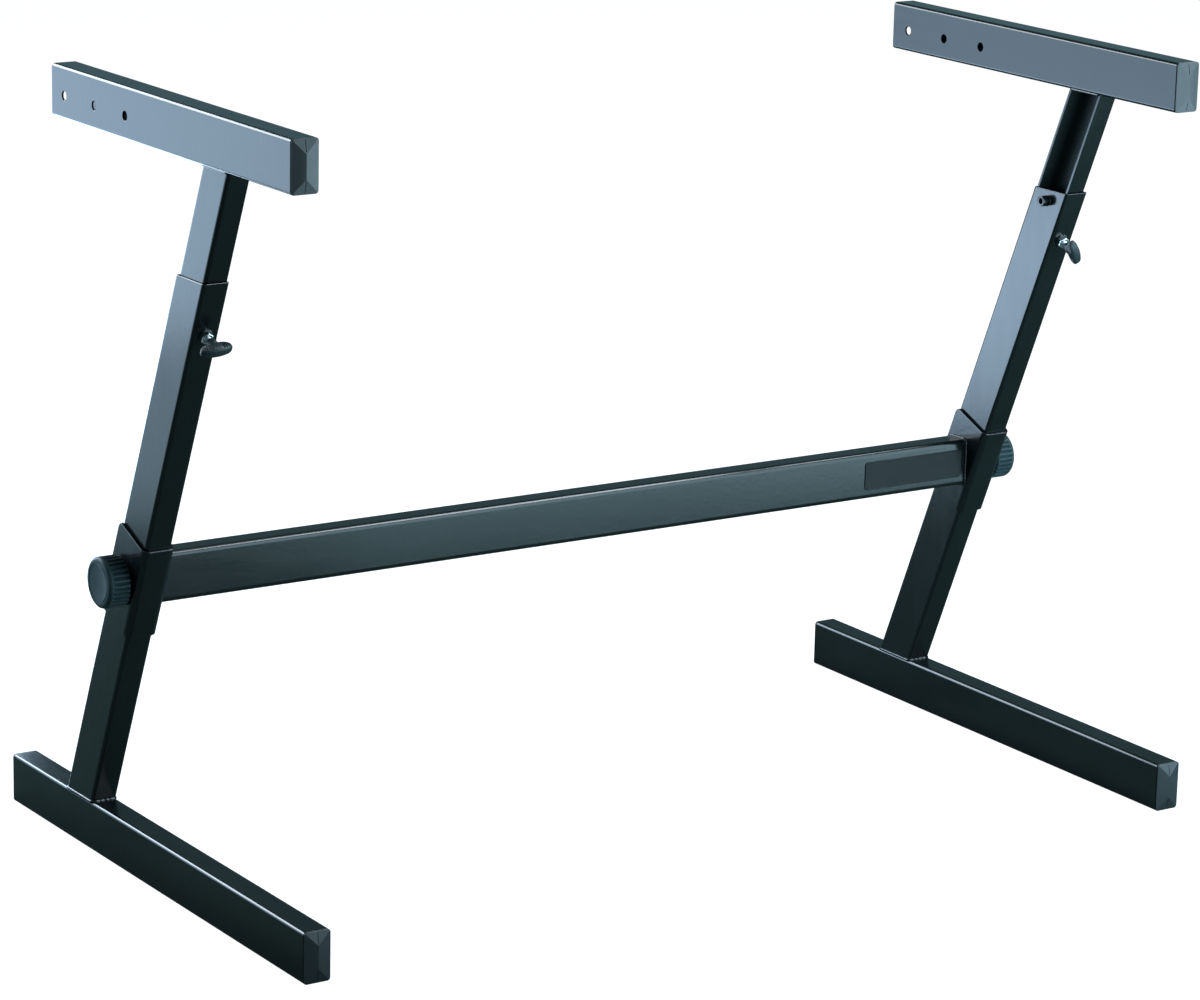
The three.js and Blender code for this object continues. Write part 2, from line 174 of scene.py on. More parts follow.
# How finely round things are drawn
CORNER_POINTS = 9
GUARD = 0.5  # flats get a row of points this close to each rounding, so that they shade flat
EDGE = 0.3  # the small rounding on cut edges
SOFT_EDGE = 0.7  # the larger one on the uprights' and brackets' painted edges
LEAST_CORNER = 0.4  # the rounding that a tube's bore keeps at least
MIDDLE = 0.001  # the share of its size to which an outline is drawn in to close an end
CROSSBAR_CORNER = 4.2
SHARP_ANGLE = math.radians(34)

# The finishes
ALONG = 0.2  # a streak is this much finer across than along
PAINT_DARK = (0.0022, 0.0036, 0.0038)
PAINT_LIGHT = (0.0034, 0.0056, 0.0062)
PAINT_ROUGHNESS = (0.17, 0.22)
PAINT_IOR = 1.40
INSIDE_COLOUR = (0.012, 0.020, 0.020)
INSIDE_ROUGHNESS = 0.6
DUST_ROUGHNESS = 0.12
PAINT_RIPPLE_SCALE = 260.0
WELD_RIPPLE_DEPTH = 0.00012
PATCH_SCALE = 14.0
STREAK_SCALE = 70.0
DUST_SCALE = 1400.0
RIDGE_SPECULAR = 0.5
GROOVE_SPECULAR = 0.03

# The studio
FLOOR_REACH = 40.0
FLOOR_GREY = (0.048, 0.085, 0.072)
FLOOR_GLOW = 1.16
FLOOR_GLOW_SHARE = 0.84
MIRRORED_WHITE = 0.012  # how much of the white background a reflection sees
WORLD_LOW = (0.13, 0.25, 0.30)
WORLD_HIGH = (0.055, 0.105, 0.11)
HORIZON_RISE = 0.17  # the sine of a ray's height up to which the world has its low colour
UPPER_RISE = 0.30  # the sine of a ray's height from which it has its high colour

# The photograph's view
PHOTO_WIDTH = 1200.0
FOCAL_LENGTH_IN_PIXELS = 4356.15
SENSOR_WIDTH = 36.0
CAMERA_AT = (-2.107511, -3.178135, 1.28158)
CAMERA_YAW = math.radians(-33.461)
CAMERA_PITCH = math.radians(14.584)
CAMERA_ROLL = math.radians(1.352)


# Frames. A frame is (origin, rows), where the rows are the images of the local x, y and z axes.


def upright_frame(sign):
    """A leaning upright's own frame: x across, y from its front face to the rear, z along it."""
    rows = np.array([[1, 0, 0], [0, COS, SIN], [0, -SIN, COS]])
    return np.array([sign * FRAME_X, UPRIGHT_FOOT, TUBE_HEIGHT]), rows


def moved(local_frame, offset, rows=None):
    """The frame shifted by a local offset, with its axes swapped for the given local rows."""
    origin, axes = local_frame
    swapped = axes if rows is None else np.array(rows, float) @ axes
    return origin + np.array(offset, float) @ axes, swapped


def lying_frame(sign, middle_y, middle_z):
    """For the feet and arms: local x across, local y up, local z along the stand's Y."""
    return np.array([sign * FRAME_X, middle_y, middle_z]), np.array([[1.0, 0, 0], [0, 0, 1], [0, 1, 0]])


def axle_point():
    """The knobs' and crossbar's axis: halfway through the upright's depth, at the bracket's middle."""
    y = UPRIGHT_FOOT + AXLE_SETBACK * COS - BRACKET_CENTRE * SIN
    z = TUBE_HEIGHT + AXLE_SETBACK * SIN + BRACKET_CENTRE * COS
    return y, z


# Surfaces


def ring(width, height, corner):
    """One turn round a rounded rectangle, as (n, 2) points.

    Each corner is a quarter circle about its own centre, with one guard point on the flat at either end.
    """
    start = np.arange(4)[:, None] * math.pi / 2
    turn = start + np.linspace(0, math.pi / 2, CORNER_POINTS)[None, :]
    centre_x = (width / 2 - corner) * np.array([1, -1, -1, 1])[:, None]
    centre_y = (height / 2 - corner) * np.array([1, 1, -1, -1])[:, None]
    x = centre_x + corner * np.cos(turn)
    y = centre_y + corner * np.sin(turn)
    guard = min(GUARD, 0.3 * (min(width, height) / 2 - corner))
    step_x = -guard * np.sin(turn[:, [0, -1]])
    step_y = guard * np.cos(turn[:, [0, -1]])
    x = np.hstack([x[:, :1] - step_x[:, :1], x, x[:, -1:] + step_x[:, 1:]])
    y = np.hstack([y[:, :1] - step_y[:, :1], y, y[:, -1:] + step_y[:, 1:]])
    return np.stack([x, y], axis=-1).reshape(-1, 2)


def grid_quads(rows, cols, wrap_rows, wrap_cols):
    """The four corner indices of every cell in a grid of rows by cols points."""
    i = np.arange(rows if wrap_rows else rows - 1)[:, None]
    j = np.arange(cols if wrap_cols else cols - 1)[None, :]
    below = i * cols
    above = (i + 1) % rows * cols
    right = (j + 1) % cols
    return np.stack([below + j, below + right, above + right, above + j], axis=-1).reshape(-1, 4)


def shell(points, local_frame, wrap_rows=False, wrap_cols=True):
    """A closed surface from a (rows, cols, 3) grid, put in its frame, with its faces turned outward.

    Its volume is the sum over the cells' triangles of a . (b x c) / 6. A negative one means inside out.
    """
    origin, axes = local_frame
    placed = points.reshape(-1, 3) @ axes + origin
    quads = grid_quads(points.shape[0], points.shape[1], wrap_rows, wrap_cols)
    a, b, c, d = (placed[quads[:, k]] - origin for k in range(4))
    volume = np.sum(a * np.cross(b, c)) + np.sum(a * np.cross(c, d))
    return placed, quads if volume > 0 else quads[:, ::-1]


def stack_rows(rows):
    """(n, 2) outlines and their heights, as one (rows, n, 3) grid."""
    return np.stack([np.column_stack([outline, np.broadcast_to(z, len(outline))]) for outline, z in rows])


def section_steps(thickness, rim):
    """The way round a wall's section, as (depth into the wall, end, distance back from that end) steps.

    Each outer rim is a quarter circle in four points, and the two inner rims are small chamfers.
    """
    turn = np.radians([0, 30, 60, 90])
    quarter = [(rim * (1 - c), rim * (1 - s)) for c, s in zip(np.cos(turn), np.sin(turn))]
    outside = [(depth, 0, back) for depth, back in quarter[::-1]]
    outside += [(0.0, 0, rim + GUARD), (0.0, 1, rim + GUARD)]
    outside += [(depth, 1, back) for depth, back in quarter]
    inside = [(thickness - EDGE, 1, 0.0), (thickness, 1, EDGE)]
    inside += [(thickness, 0, EDGE), (thickness - EDGE, 0, 0.0)]
    return outside + inside


def hollow_tube(width, height, corner, wall, low, high, local_frame, rim=EDGE):
    """A tube with a bore: outside up, over the rounded rim, inside down, and over the other rim.

    low and high give the height of each end as functions of x and y, so an end can be cut at a slant.
    """
    rows = []
    for inset, end, back in section_steps(wall, rim):
        outline = ring(width - 2 * inset, height - 2 * inset, max(corner - inset, LEAST_CORNER))
        x, y = outline.T
        rows.append((outline, high(x, y) - back if end else low(x, y) + back))
    return shell(stack_rows(rows), local_frame, wrap_rows=True)


def u_path(half_width, depth, bend, end_points=8, end_length=BRACKET_CORNER):
    """A U: down one flange, round a quarter circle, across the web, and up the other flange.

    Returns points and outward normals, both (n, 2). The web lies at y = 0 and the flanges reach y = depth.
    The last end_length of each flange has end_points points.
    """
    arc = np.linspace(0, math.pi / 2, CORNER_POINTS)
    flange = np.concatenate([depth - np.linspace(0, end_length, end_points), [bend + GUARD]])
    left = np.column_stack([np.full(len(flange), -half_width), flange])
    left_arc = np.column_stack([-half_width + bend - bend * np.cos(arc), bend - bend * np.sin(arc)])
    half = np.vstack([left, left_arc, [[-half_width + bend + GUARD, 0.0]]])
    flat_normal = np.tile([-1.0, 0.0], (len(flange), 1))
    arc_normal = np.column_stack([-np.cos(arc), -np.sin(arc)])
    half_normal = np.vstack([flat_normal, arc_normal, [[0.0, -1.0]]])
    mirror = np.array([-1.0, 1.0])
    return np.vstack([half, half[::-1] * mirror]), np.vstack([half_normal, half_normal[::-1] * mirror])


def bent_sheet(path, normals, thickness, low, high, local_frame, rim=EDGE):
    """Sheet of a given thickness behind a path, from low(x, y) to high(x, y), with rounded edges.

    Each row is the path moved inward by a depth. The two end columns run on to the sheet's middle and close
    it.
    """
    rows = []
    for depth, end, back in section_steps(thickness, rim):
        outline = path - normals * depth
        middle = path - normals * thickness / 2
        outline = np.vstack([middle[:1], outline, middle[-1:]])
        x, y = outline.T
        rows.append((outline, high(x, y) - back if end else low(x, y) + back))
    return shell(stack_rows(rows), local_frame, wrap_rows=True, wrap_cols=False)


def turned(profile, local_frame, cols=48, radius=None, wrap_rows=False):
    """A profile of (radius, height) rows carried round the local z axis.

    radius, where given, is a function of the profile's radii and heights and the angle, and gives the true
    radii.
    """
    r, z = np.array(profile, float).T
    angle = np.linspace(0, 2 * math.pi, cols, endpoint=False)
    true = np.broadcast_to(r[:, None], (len(r), cols))
    if radius is not None:
        true = radius(r[:, None], z[:, None], angle[None, :])
    height = np.broadcast_to(z[:, None], true.shape)
    grid = np.stack([true * np.cos(angle), true * np.sin(angle), height], axis=-1)
    return shell(grid, local_frame, wrap_rows=wrap_rows)


def turned_ring(radius, thickness, local_frame):
    """A thin torus lying at z = 0: a flattened circle carried round the z axis."""
    a = np.linspace(0, 2 * math.pi, 12, endpoint=False)
    profile = np.column_stack([radius + thickness * np.cos(a), thickness * 0.7 * np.sin(a)])
    return turned(profile, local_frame, cols=48, wrap_rows=True)


def solid_prism(rows, local_frame):
    """A prism between two outlines, closed by drawing each end in to its middle."""
    (first, low), (last, high) = rows
    steps = [(first * MIDDLE, low), (first, low), (last, high), (last * MIDDLE, high)]
    return shell(stack_rows(steps), local_frame)


def bead(outline, radius, local_frame, ripples=0, swell=0.16):
    """A weld bead: a circle carried round a closed (n, 2) outline at z = 0.

    Its size swells with the sine of each ripple's share, and a little with a slower sine.
    """
    count = max(4 * ripples, len(outline))
    closed = np.vstack([outline, outline[:1]])
    length = np.concatenate([[0], np.cumsum(np.linalg.norm(np.diff(closed, axis=0), axis=1))])
    at = np.linspace(0, length[-1], count, endpoint=False)
    x = np.interp(at, length, closed[:, 0])
    y = np.interp(at, length, closed[:, 1])
    along = np.stack([np.roll(x, -1) - np.roll(x, 1), np.roll(y, -1) - np.roll(y, 1)], axis=-1)
    along /= np.linalg.norm(along, axis=1)[:, None]
    side = np.stack([along[:, 1], -along[:, 0]], axis=-1)
    phase = at / length[-1] * ripples
    size = radius * (0.9 + swell * np.abs(np.sin(math.pi * phase)) + 0.3 * swell * np.sin(phase * 1.7))
    around = np.linspace(0, 2 * math.pi, 12, endpoint=False)
    out = size[:, None] * np.cos(around)
    up = size[:, None] * np.sin(around)
    grid = np.stack([x[:, None] + side[:, :1] * out, y[:, None] + side[:, 1:] * out, up], axis=-1)
    return shell(grid, local_frame, wrap_rows=True)


# Pieces


def weld(mesh):
    """Joins points that lie on each other, which closes the poles and seams."""
    work = bmesh.new()
    work.from_mesh(mesh)
    bmesh.ops.remove_doubles(work, verts=work.verts, dist=0.002 * MM)
    work.to_mesh(mesh)
    work.free()


def shade(mesh):
    """Shades smoothly, but for edges sharper than the sharp angle."""
    mesh.shade_smooth()
    mesh.set_sharp_from_angle(angle=SHARP_ANGLE)


def mesh_object(name, shells):
    """One object from several closed surfaces, in metres, at the origin."""
    points = np.concatenate([v for v, _ in shells]) * MM
    starts = np.cumsum([0] + [len(v) for v, _ in shells[:-1]])
    quads = np.concatenate([q + start for (_, q), start in zip(shells, starts)])
    mesh = bpy.data.meshes.new(name)
    mesh.from_pydata(points.tolist(), [], quads.tolist())
    weld(mesh)
    shade(mesh)
    piece = bpy.data.objects.new(name, mesh)
    bpy.context.scene.collection.objects.link(piece)
    return piece


def dress(piece, body, slot, material, *nodes):
    """Gives a piece its material and its body, and hides the CAD nodes that it stands for. Its slot is not
    used.
    """
    piece.data.materials.clear()
    piece.data.materials.append(material)
    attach(piece, body)
    if nodes:
        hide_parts(*nodes)
    return piece


def add_weld(name, body, surface):
    """A painted weld bead, which stands for no node of its own."""
    dress(mesh_object(name, [surface]), body, "frame_paint", paint_weld)


def add_plated(name, body, surface, node):
    """A plated screw, nut or washer."""
    dress(mesh_object(name, [surface]), body, "plated_steel", plated_steel, node)


def drilled(piece, cutter):
    """The piece with the cutter taken away from it, as its own mesh."""
    cut = piece.modifiers.new("holes", "BOOLEAN")
    cut.operation = "DIFFERENCE"
    cut.solver = "EXACT"
    cut.object = cutter
    graph = bpy.context.evaluated_depsgraph_get()
    mesh = bpy.data.meshes.new_from_object(piece.evaluated_get(graph))
    piece.modifiers.clear()
    old = piece.data
    piece.data = mesh
    mesh.name = piece.name
    bpy.data.meshes.remove(old)
    cutter_mesh = cutter.data
    bpy.data.objects.remove(cutter)
    bpy.data.meshes.remove(cutter_mesh)
    shade(mesh)
    return piece


def level(height):
    """How far along an upright a level plane at this height cuts it, as a function of x and y."""
    return lambda x, y: (height - TUBE_HEIGHT - (y + AXLE_SETBACK) * SIN) / COS


def flat(value):
    """The same height everywhere, as a function of x and y."""
    return lambda x, y: np.full(np.shape(x), float(value))


def make_cap(name, body, local_frame, node):
    """An end cap: plug, rim, and a low hipped roof whose ridge stands upright.

    The roof's rows are ever smaller rectangles, which end in the ridge line. Height grows with the inset, and
    the corners lose their rounding in the first part of it, so that the hips are creases.
    """
    half = TUBE_WIDTH / 2
    plug = TUBE_WALL + GAP
    rows = [
        (ring(0.02, TUBE_HEIGHT - TUBE_WIDTH, 0.01), -CAP_PLUG),
        (ring(TUBE_WIDTH - 2 * plug, TUBE_HEIGHT - 2 * plug, CAP_PLUG_CORNER), -CAP_PLUG),
        (ring(TUBE_WIDTH - 2 * plug, TUBE_HEIGHT - 2 * plug, CAP_PLUG_CORNER), CAP_JOINT),
        (ring(TUBE_WIDTH - 0.4, TUBE_HEIGHT - 0.4, TUBE_CORNER), CAP_JOINT),
        (ring(TUBE_WIDTH, TUBE_HEIGHT, TUBE_CORNER), CAP_JOINT + 0.2),
        (ring(TUBE_WIDTH, TUBE_HEIGHT, TUBE_CORNER), CAP_RIM - 0.15),
    ]
    for share in ROOF_STEPS:
        inset = half * share
        width = TUBE_WIDTH - 2 * inset
        corner = TUBE_CORNER * max(1 - share / HIP_START, 0) ** 1.5 + HIP_CORNER
        outline = ring(width, TUBE_HEIGHT - 2 * inset, min(corner, 0.45 * width))
        rows.append((outline, CAP_RIM + CAP_PEAK * share - RIDGE_DROP * (share > 0.99)))
    roof = shell(stack_rows(rows), local_frame)
    cap = mesh_object(name, [roof])
    slits = []
    for end in (1, -1):
        middle = end * (TUBE_HEIGHT / 2 - CAP_SLIT_FROM_EDGE - CAP_SLIT / 2)
        spot = moved(local_frame, (0, middle, CAP_RIM))
        slit = ring(CAP_SLIT_WIDTH, CAP_SLIT, 0.2)
        slits.append(solid_prism([(slit, 0.1), (slit, CAP_PEAK + 1)], spot))
    cap = drilled(cap, mesh_object(name + "_cutter", slits))
    return dress(cap, body, "cap_plastic", cap_plastic, node)


def make_foot(side, sign):
    """The tube on the floor, with a cap in each end."""
    local = lying_frame(sign, 0, TUBE_HEIGHT / 2)
    half = FOOT_LENGTH / 2 - CAP_RIM
    low, high = flat(GAP - half), flat(half - GAP)
    tube = hollow_tube(TUBE_WIDTH, TUBE_HEIGHT, TUBE_CORNER, TUBE_WALL, low, high, local)
    dress(mesh_object(f"{side}_foot_tube", [tube]), "base", "frame_paint", paint_along_y, f"{side}_foot")
    make_end_cap(f"{side}_foot", "base", local, half, "front")
    make_end_cap(f"{side}_foot", "base", local, half, "rear")


def make_end_cap(name, body, local, half, end):
    """A cap on a lying tube's front or rear end, half a length from its middle, turned to face out of it."""
    turn = 1 if end == "rear" else -1
    spot = moved(local, (0, 0, turn * half), [[turn, 0, 0], [0, 1, 0], [0, 0, turn]])
    make_cap(f"{name}_end_cap_{end}", body, spot, f"{name}_cap_{end}")


def make_arm(side, sign):
    """The level tube on top, capped in front and open behind, with holes across it near its rear end."""
    local = lying_frame(sign, ARM_FRONT + ARM_LENGTH / 2, ARM_BOTTOM + TUBE_HEIGHT / 2)
    half = ARM_LENGTH / 2 - CAP_RIM
    body = f"{side}_arm_frame"
    low, high = flat(GAP - half), flat(ARM_LENGTH / 2)
    tube = hollow_tube(TUBE_WIDTH, TUBE_HEIGHT, TUBE_CORNER, TUBE_WALL, low, high, local)
    arm = mesh_object(f"{side}_arm_tube", [tube])
    # A spool flares at both faces of the tube, which leaves each hole a small chamfer.
    face, r = TUBE_WIDTH / 2, ARM_HOLE_DIAMETER / 2
    half_spool = [(0, -face - 1), (r + 1.5, -face - 1), (r, -face + 0.5)]
    spool = half_spool + [(radius, -height) for radius, height in half_spool[::-1]]
    cutters = []
    for i in range(ARM_HOLE_COUNT):
        along = ARM_LENGTH / 2 - ARM_HOLE_FIRST - i * ARM_HOLE_STEP
        spot = moved(local, (0, TUBE_HEIGHT / 2 - ARM_HOLE_DROP, along), [[0, 1, 0], [0, 0, 1], [1, 0, 0]])
        cutters.append(turned(spool, spot, cols=40))
    arm = drilled(arm, mesh_object(f"{side}_arm_drill", cutters))
    dress(arm, body, "frame_paint", paint_along_y, f"{side}_arm")
    make_end_cap(f"{side}_arm", body, local, half, "front")


def make_upright(side, sign):
    """The leaning tube, cut level at both ends, and the weld round its foot."""
    axis = moved(upright_frame(sign), (0, AXLE_SETBACK, 0))
    low, high = level(TUBE_HEIGHT - WELD_LAP), level(UPRIGHT_TOP)
    tube = hollow_tube(TUBE_WIDTH, TUBE_HEIGHT, TUBE_CORNER, TUBE_WALL, low, high, axis, SOFT_EDGE)
    piece = mesh_object(f"{side}_upright_tube", [tube])
    dress(piece, "base", "frame_paint", paint_leaning, f"{side}_upright")
    level_axes = (np.array([sign * FRAME_X, UPRIGHT_FOOT + TUBE_HEIGHT / COS / 2, TUBE_HEIGHT]), np.eye(3))
    around = ring(TUBE_WIDTH - 2 * FOOT_BEAD_INSET, TUBE_HEIGHT / COS + 2 * BEAD_OUT, FOOT_BEAD_CORNER)
    foot_bead = bead(around, FOOT_BEAD, level_axes, ripples=30, swell=0.24)
    add_weld(f"{side}_foot_weld", "base", foot_bead)


def make_post(side, sign):
    """The channel's U lies on its side: its depth runs inward across the upright, its width front to rear."""
    inward = -sign
    path, normals = u_path(POST_DEPTH / 2, POST_WIDTH, POST_CORNER, end_length=1.0, end_points=2)
    across = np.column_stack([inward * (path[:, 1] - POST_WIDTH / 2), path[:, 0]])
    outward = np.column_stack([inward * normals[:, 1], normals[:, 0]])
    axis = moved(upright_frame(sign), (0, AXLE_SETBACK, 0))
    channel = bent_sheet(across, outward, POST_WALL, flat(POST_BOTTOM), level(ARM_BOTTOM + WELD_LAP), axis)
    body = f"{side}_arm_frame"
    piece = mesh_object(f"{side}_post_channel", [channel])
    mark_inside(piece, inward, axis)
    dress(piece, body, "frame_paint", paint_channel, f"{side}_post")
    rise = ARM_BOTTOM - TUBE_HEIGHT
    middle_y = UPRIGHT_FOOT + TUBE_HEIGHT / COS / 2 - rise * SIN / COS
    under_arm = (np.array([sign * FRAME_X, middle_y, ARM_BOTTOM]), np.eye(3))
    around = ring(POST_WIDTH, POST_DEPTH / COS, POST_CORNER)
    post_bead = bead(around, POST_BEAD, under_arm, ripples=18, swell=0.05)
    add_weld(f"{side}_post_weld", body, post_bead)


def mark_inside(piece, inward, axis):
    """Sets the inside attribute: 1 where a point lies within the channel's walls, and 0 elsewhere."""
    count = len(piece.data.vertices)
    points = np.empty(3 * count)
    piece.data.vertices.foreach_get("co", points)
    origin, axes = axis
    local = (points.reshape(-1, 3) / MM - origin) @ axes.T
    depth = inward * local[:, 0] + POST_WIDTH / 2
    within = (depth > POST_WALL - 0.1) & (np.abs(local[:, 1]) < POST_DEPTH / 2 - POST_WALL + 0.1)
    mark = piece.data.attributes.new("inside", "FLOAT", "POINT")
    mark.data.foreach_set("value", within.astype(np.float32))


def make_bracket(side, sign):
    """A U of bent sheet round the upright's front and sides, with rounded corners behind."""
    local = upright_frame(sign)
    front = GAP + BRACKET_SHEET
    path, normals = u_path(FLANGE_OUTSIDE, BRACKET_REACH + front, BRACKET_BEND)
    path = path - [0, front]

    def end(x, y):
        """Half the length, less a quarter circle's drop near the flanges' rear edges."""
        past = np.clip(y - (BRACKET_REACH - BRACKET_CORNER), 0, BRACKET_CORNER)
        return BRACKET_LENGTH / 2 - BRACKET_CORNER + np.sqrt(BRACKET_CORNER**2 - past**2)

    sheet = bent_sheet(
        path,
        normals,
        BRACKET_SHEET,
        lambda x, y: BRACKET_CENTRE - end(x, y),
        lambda x, y: BRACKET_CENTRE + end(x, y),
        local,
        SOFT_EDGE,
    )
    piece = mesh_object(f"{side}_bent_bracket", [sheet])
    dress(piece, "base", "frame_paint", paint_leaning, f"{side}_bracket")


def hexagon(across_flats, bevel, thickness):
    """The radius of a hexagon at each angle, held under a cone near both ends, which chamfers the corners."""

    def radius(r, z, angle):
        turn = (angle + math.pi / 6) % (math.pi / 3) - math.pi / 6
        flats = across_flats / 2 / np.cos(turn)
        depth = np.minimum(z, thickness - z)
        limit = across_flats / 2 + bevel * depth + 0.05
        return np.where(r > across_flats / 4, np.minimum(flats, limit) * r / (across_flats / 2), r)

    return radius


def nut_profile(across_flats, bore, thickness, rounding=EDGE):
    """Up the outside in small steps, over a quarter circle at the far face, and back down the bore."""
    out = across_flats / 2
    turn = np.linspace(0, math.pi / 2, 7)
    low = [(out, z) for z in (0, 0.25, 0.5, 0.8, thickness / 2)]
    over = [(out - rounding * (1 - math.cos(t)), thickness - rounding * (1 - math.sin(t))) for t in turn]
    return low + over + [(bore, thickness), (bore, 0)]


def threaded(core, pitch, depth, low, high):
    """A rod's radius with a helical groove: depth times a triangle wave of height over pitch less the turn.

    Below low and above high it is a plain rod, a little thinner than the crests.
    """

    def radius(r, z, angle):
        phase = (z / pitch - angle / (2 * math.pi)) % 1
        groove = depth * np.abs(2 * phase - 1)
        inside = (z > low) & (z < high)
        return np.where(r < core / 2, r, r - np.where(inside, groove, PLAIN_END_DROP))

    return radius


def rod_profile(radius, low, high, step):
    """A rod from low to high, in even steps that are fine enough for its thread."""
    heights = np.linspace(low, high, round((high - low) / step))
    return [(0, low), *[(radius, z) for z in heights], (0, high)]


def make_clamp(side, sign):
    """The wing screw: local z points out of the upright's front face, local y up along it."""
    local = upright_frame(sign)
    out = [[1, 0, 0], [0, 0, 1], [0, -1, 0]]
    face = moved(local, (0, 0, CLAMP_CENTRE), out)
    nut = turned(
        nut_profile(CLAMP_NUT_ACROSS_FLATS, SHANK_RADIUS + GAP, CLAMP_NUT_THICKNESS, CLAMP_NUT_ROUNDING),
        moved(face, (0, 0, GAP)),
        cols=96,
        radius=hexagon(CLAMP_NUT_ACROSS_FLATS, NUT_CHAMFER, CLAMP_NUT_THICKNESS),
        wrap_rows=True,
    )
    add_plated(f"{side}_clamp_weld_nut", "base", nut, f"{side}_clamp_nut")
    across = CLAMP_NUT_ACROSS_FLATS
    nut_bead = bead(ring(across, across, 0.35 * across), NUT_BEAD, face, ripples=14)
    add_weld(f"{side}_clamp_bead", "base", nut_bead)
    body = f"{side}_clamp_screw"
    back = GAP - (TUBE_HEIGHT - POST_DEPTH) / 2
    end = GRIP_START + SHANK_IN_GRIP
    shank = turned(
        rod_profile(SHANK_RADIUS, back, end, SHANK_PITCH / 6),
        face,
        cols=32,
        radius=threaded(SHANK_RADIUS, SHANK_PITCH, SHANK_THREAD_DEPTH, back + 0.4, end - 0.4),
    )
    add_plated(f"{side}_clamp_thread", body, shank, f"{side}_clamp_shank")
    cosine, sine = math.cos(GRIP_TURN[side]), math.sin(GRIP_TURN[side])
    # The same turn about the upright's y axis as in the part's source, seen in this frame.
    spun = moved(face, (0, 0, GRIP_START), [[cosine, -sine, 0], [sine, cosine, 0], [0, 0, 1]])
    grip = mesh_object(f"{side}_wing_grip", [grip_blade(spun), grip_collar(spun)])
    dress(grip, body, "knob_plastic", knob_plastic, f"{side}_clamp_grip")


def grip_collar(local_frame):
    """A tapering collar with a rounded mouth, closed where it meets the blade."""
    r, length = GRIP_COLLAR_RADIUS, GRIP_COLLAR_LENGTH
    profile = [
        (0, 0.0),
        (r - 1.6, 0.0),
        (r - 1.1, 0.15),
        (r - 0.9, 0.6),
        (r - 0.5, 0.5 * length),
        (r - 0.3, 0.8 * length),
        (r - 1.2, length),
        (0, length + 0.6),
    ]
    return turned(profile, local_frame, cols=40)


def grip_blade(local_frame):
    """Two thick wings as one hull with ribbed pads.

    Across the span, u = x / half span. The back edge rises with the cube of u and the front edge falls back
    with its square. Each section is a superellipse, and all of them shrink to the tips. On both broad faces
    each wing has a pad: it is sunk a little, and ribs stand in it as a cosine wave of x over their pitch.
    """
    u = np.linspace(-1, 1, 141)[:, None]
    a = np.linspace(0, 2 * math.pi, 56, endpoint=False)[None, :]
    side = np.abs(u)
    taper = np.sqrt(np.clip(1 - side**8, 0, 1))
    back = GRIP_BACK + 0.4 + 3.2 * side**3
    front = GRIP_REACH - 0.2 - 2.4 * side**2
    along = np.sign(np.cos(a)) * np.abs(np.cos(a)) ** GRIP_POWER
    thick = np.sign(np.sin(a)) * np.abs(np.sin(a)) ** GRIP_POWER
    on_wing = np.clip((side - GRIP_PAD_FROM) / 0.05, 0, 1) * np.clip((GRIP_PAD_TO - side) / 0.05, 0, 1)
    on_pad = on_wing * np.clip((0.8 - np.abs(along)) / 0.12, 0, 1)
    rib = 0.5 + 0.5 * np.cos(2 * math.pi * u * GRIP_HALF_SPAN / GRIP_RIB_PITCH)
    sunk = GRIP_PAD_DEPTH * on_pad * (1 - GRIP_RIB_RISE * rib)
    x = u * GRIP_HALF_SPAN + 0 * a
    y = ((GRIP_HALF_THICKNESS - 1.2 * side**2) * taper - sunk) * thick
    z = (back + front) / 2 + (front - back) / 2 * taper * along
    return shell(np.stack([x, y, z], axis=-1), local_frame)


def make_knob(side, sign):
    """The round knob: local z points away from the stand along the axle."""
    local = upright_frame(sign)
    out = [[0, 1, 0], [0, 0, 1], [sign, 0, 0]]
    seat = moved(local, (sign * (FLANGE_OUTSIDE + GAP), AXLE_SETBACK, BRACKET_CENTRE), out)
    bore, r, top = STUD_RADIUS + GAP, WASHER_RADIUS, WASHER_THICKNESS
    profile = [(bore, 0), (r - EDGE, 0), (r, EDGE), (r, top - EDGE), (r - EDGE, top), (bore, top)]
    washer = turned(profile, seat, cols=64, wrap_rows=True)
    add_plated(f"{side}_flat_washer", "base", washer, f"{side}_knob_washer")
    body = f"{side}_knob_screw"
    knob = mesh_object(f"{side}_round_knob", [knob_body(moved(seat, (0, 0, WASHER_THICKNESS + GAP)))])
    # The mask for the painted shade in the knob's grooves
    mark_groove_shade(knob)
    dress(knob, body, "knob_plastic", ridged_plastic, f"{side}_knob")
    inward = [[0, 1, 0], [0, 0, 1], [-sign, 0, 0]]
    inner = moved(local, (-sign * (FLANGE_OUTSIDE + GAP), AXLE_SETBACK, BRACKET_CENTRE), inward)
    nut = turned(
        nut_profile(BRACKET_NUT_ACROSS_FLATS, bore, BRACKET_NUT_THICKNESS),
        inner,
        cols=96,
        radius=hexagon(BRACKET_NUT_ACROSS_FLATS, NUT_CHAMFER, BRACKET_NUT_THICKNESS),
        wrap_rows=True,
    )
    add_plated(f"{side}_hex_nut", "base", nut, f"{side}_bracket_nut")
    low = -(2 * FLANGE_OUTSIDE + 2 * GAP + BRACKET_NUT_THICKNESS + STUD_PAST_NUT)
    high = WASHER_THICKNESS + GAP + STUD_IN_KNOB
    stud = turned(
        rod_profile(STUD_RADIUS, low, high, STUD_PITCH / 5),
        seat,
        cols=32,
        radius=threaded(STUD_RADIUS, STUD_PITCH, STUD_THREAD_DEPTH, low + 0.5, high - 0.5),
    )
    add_plated(f"{side}_threaded_stud", body, stud, f"{side}_knob_stud")


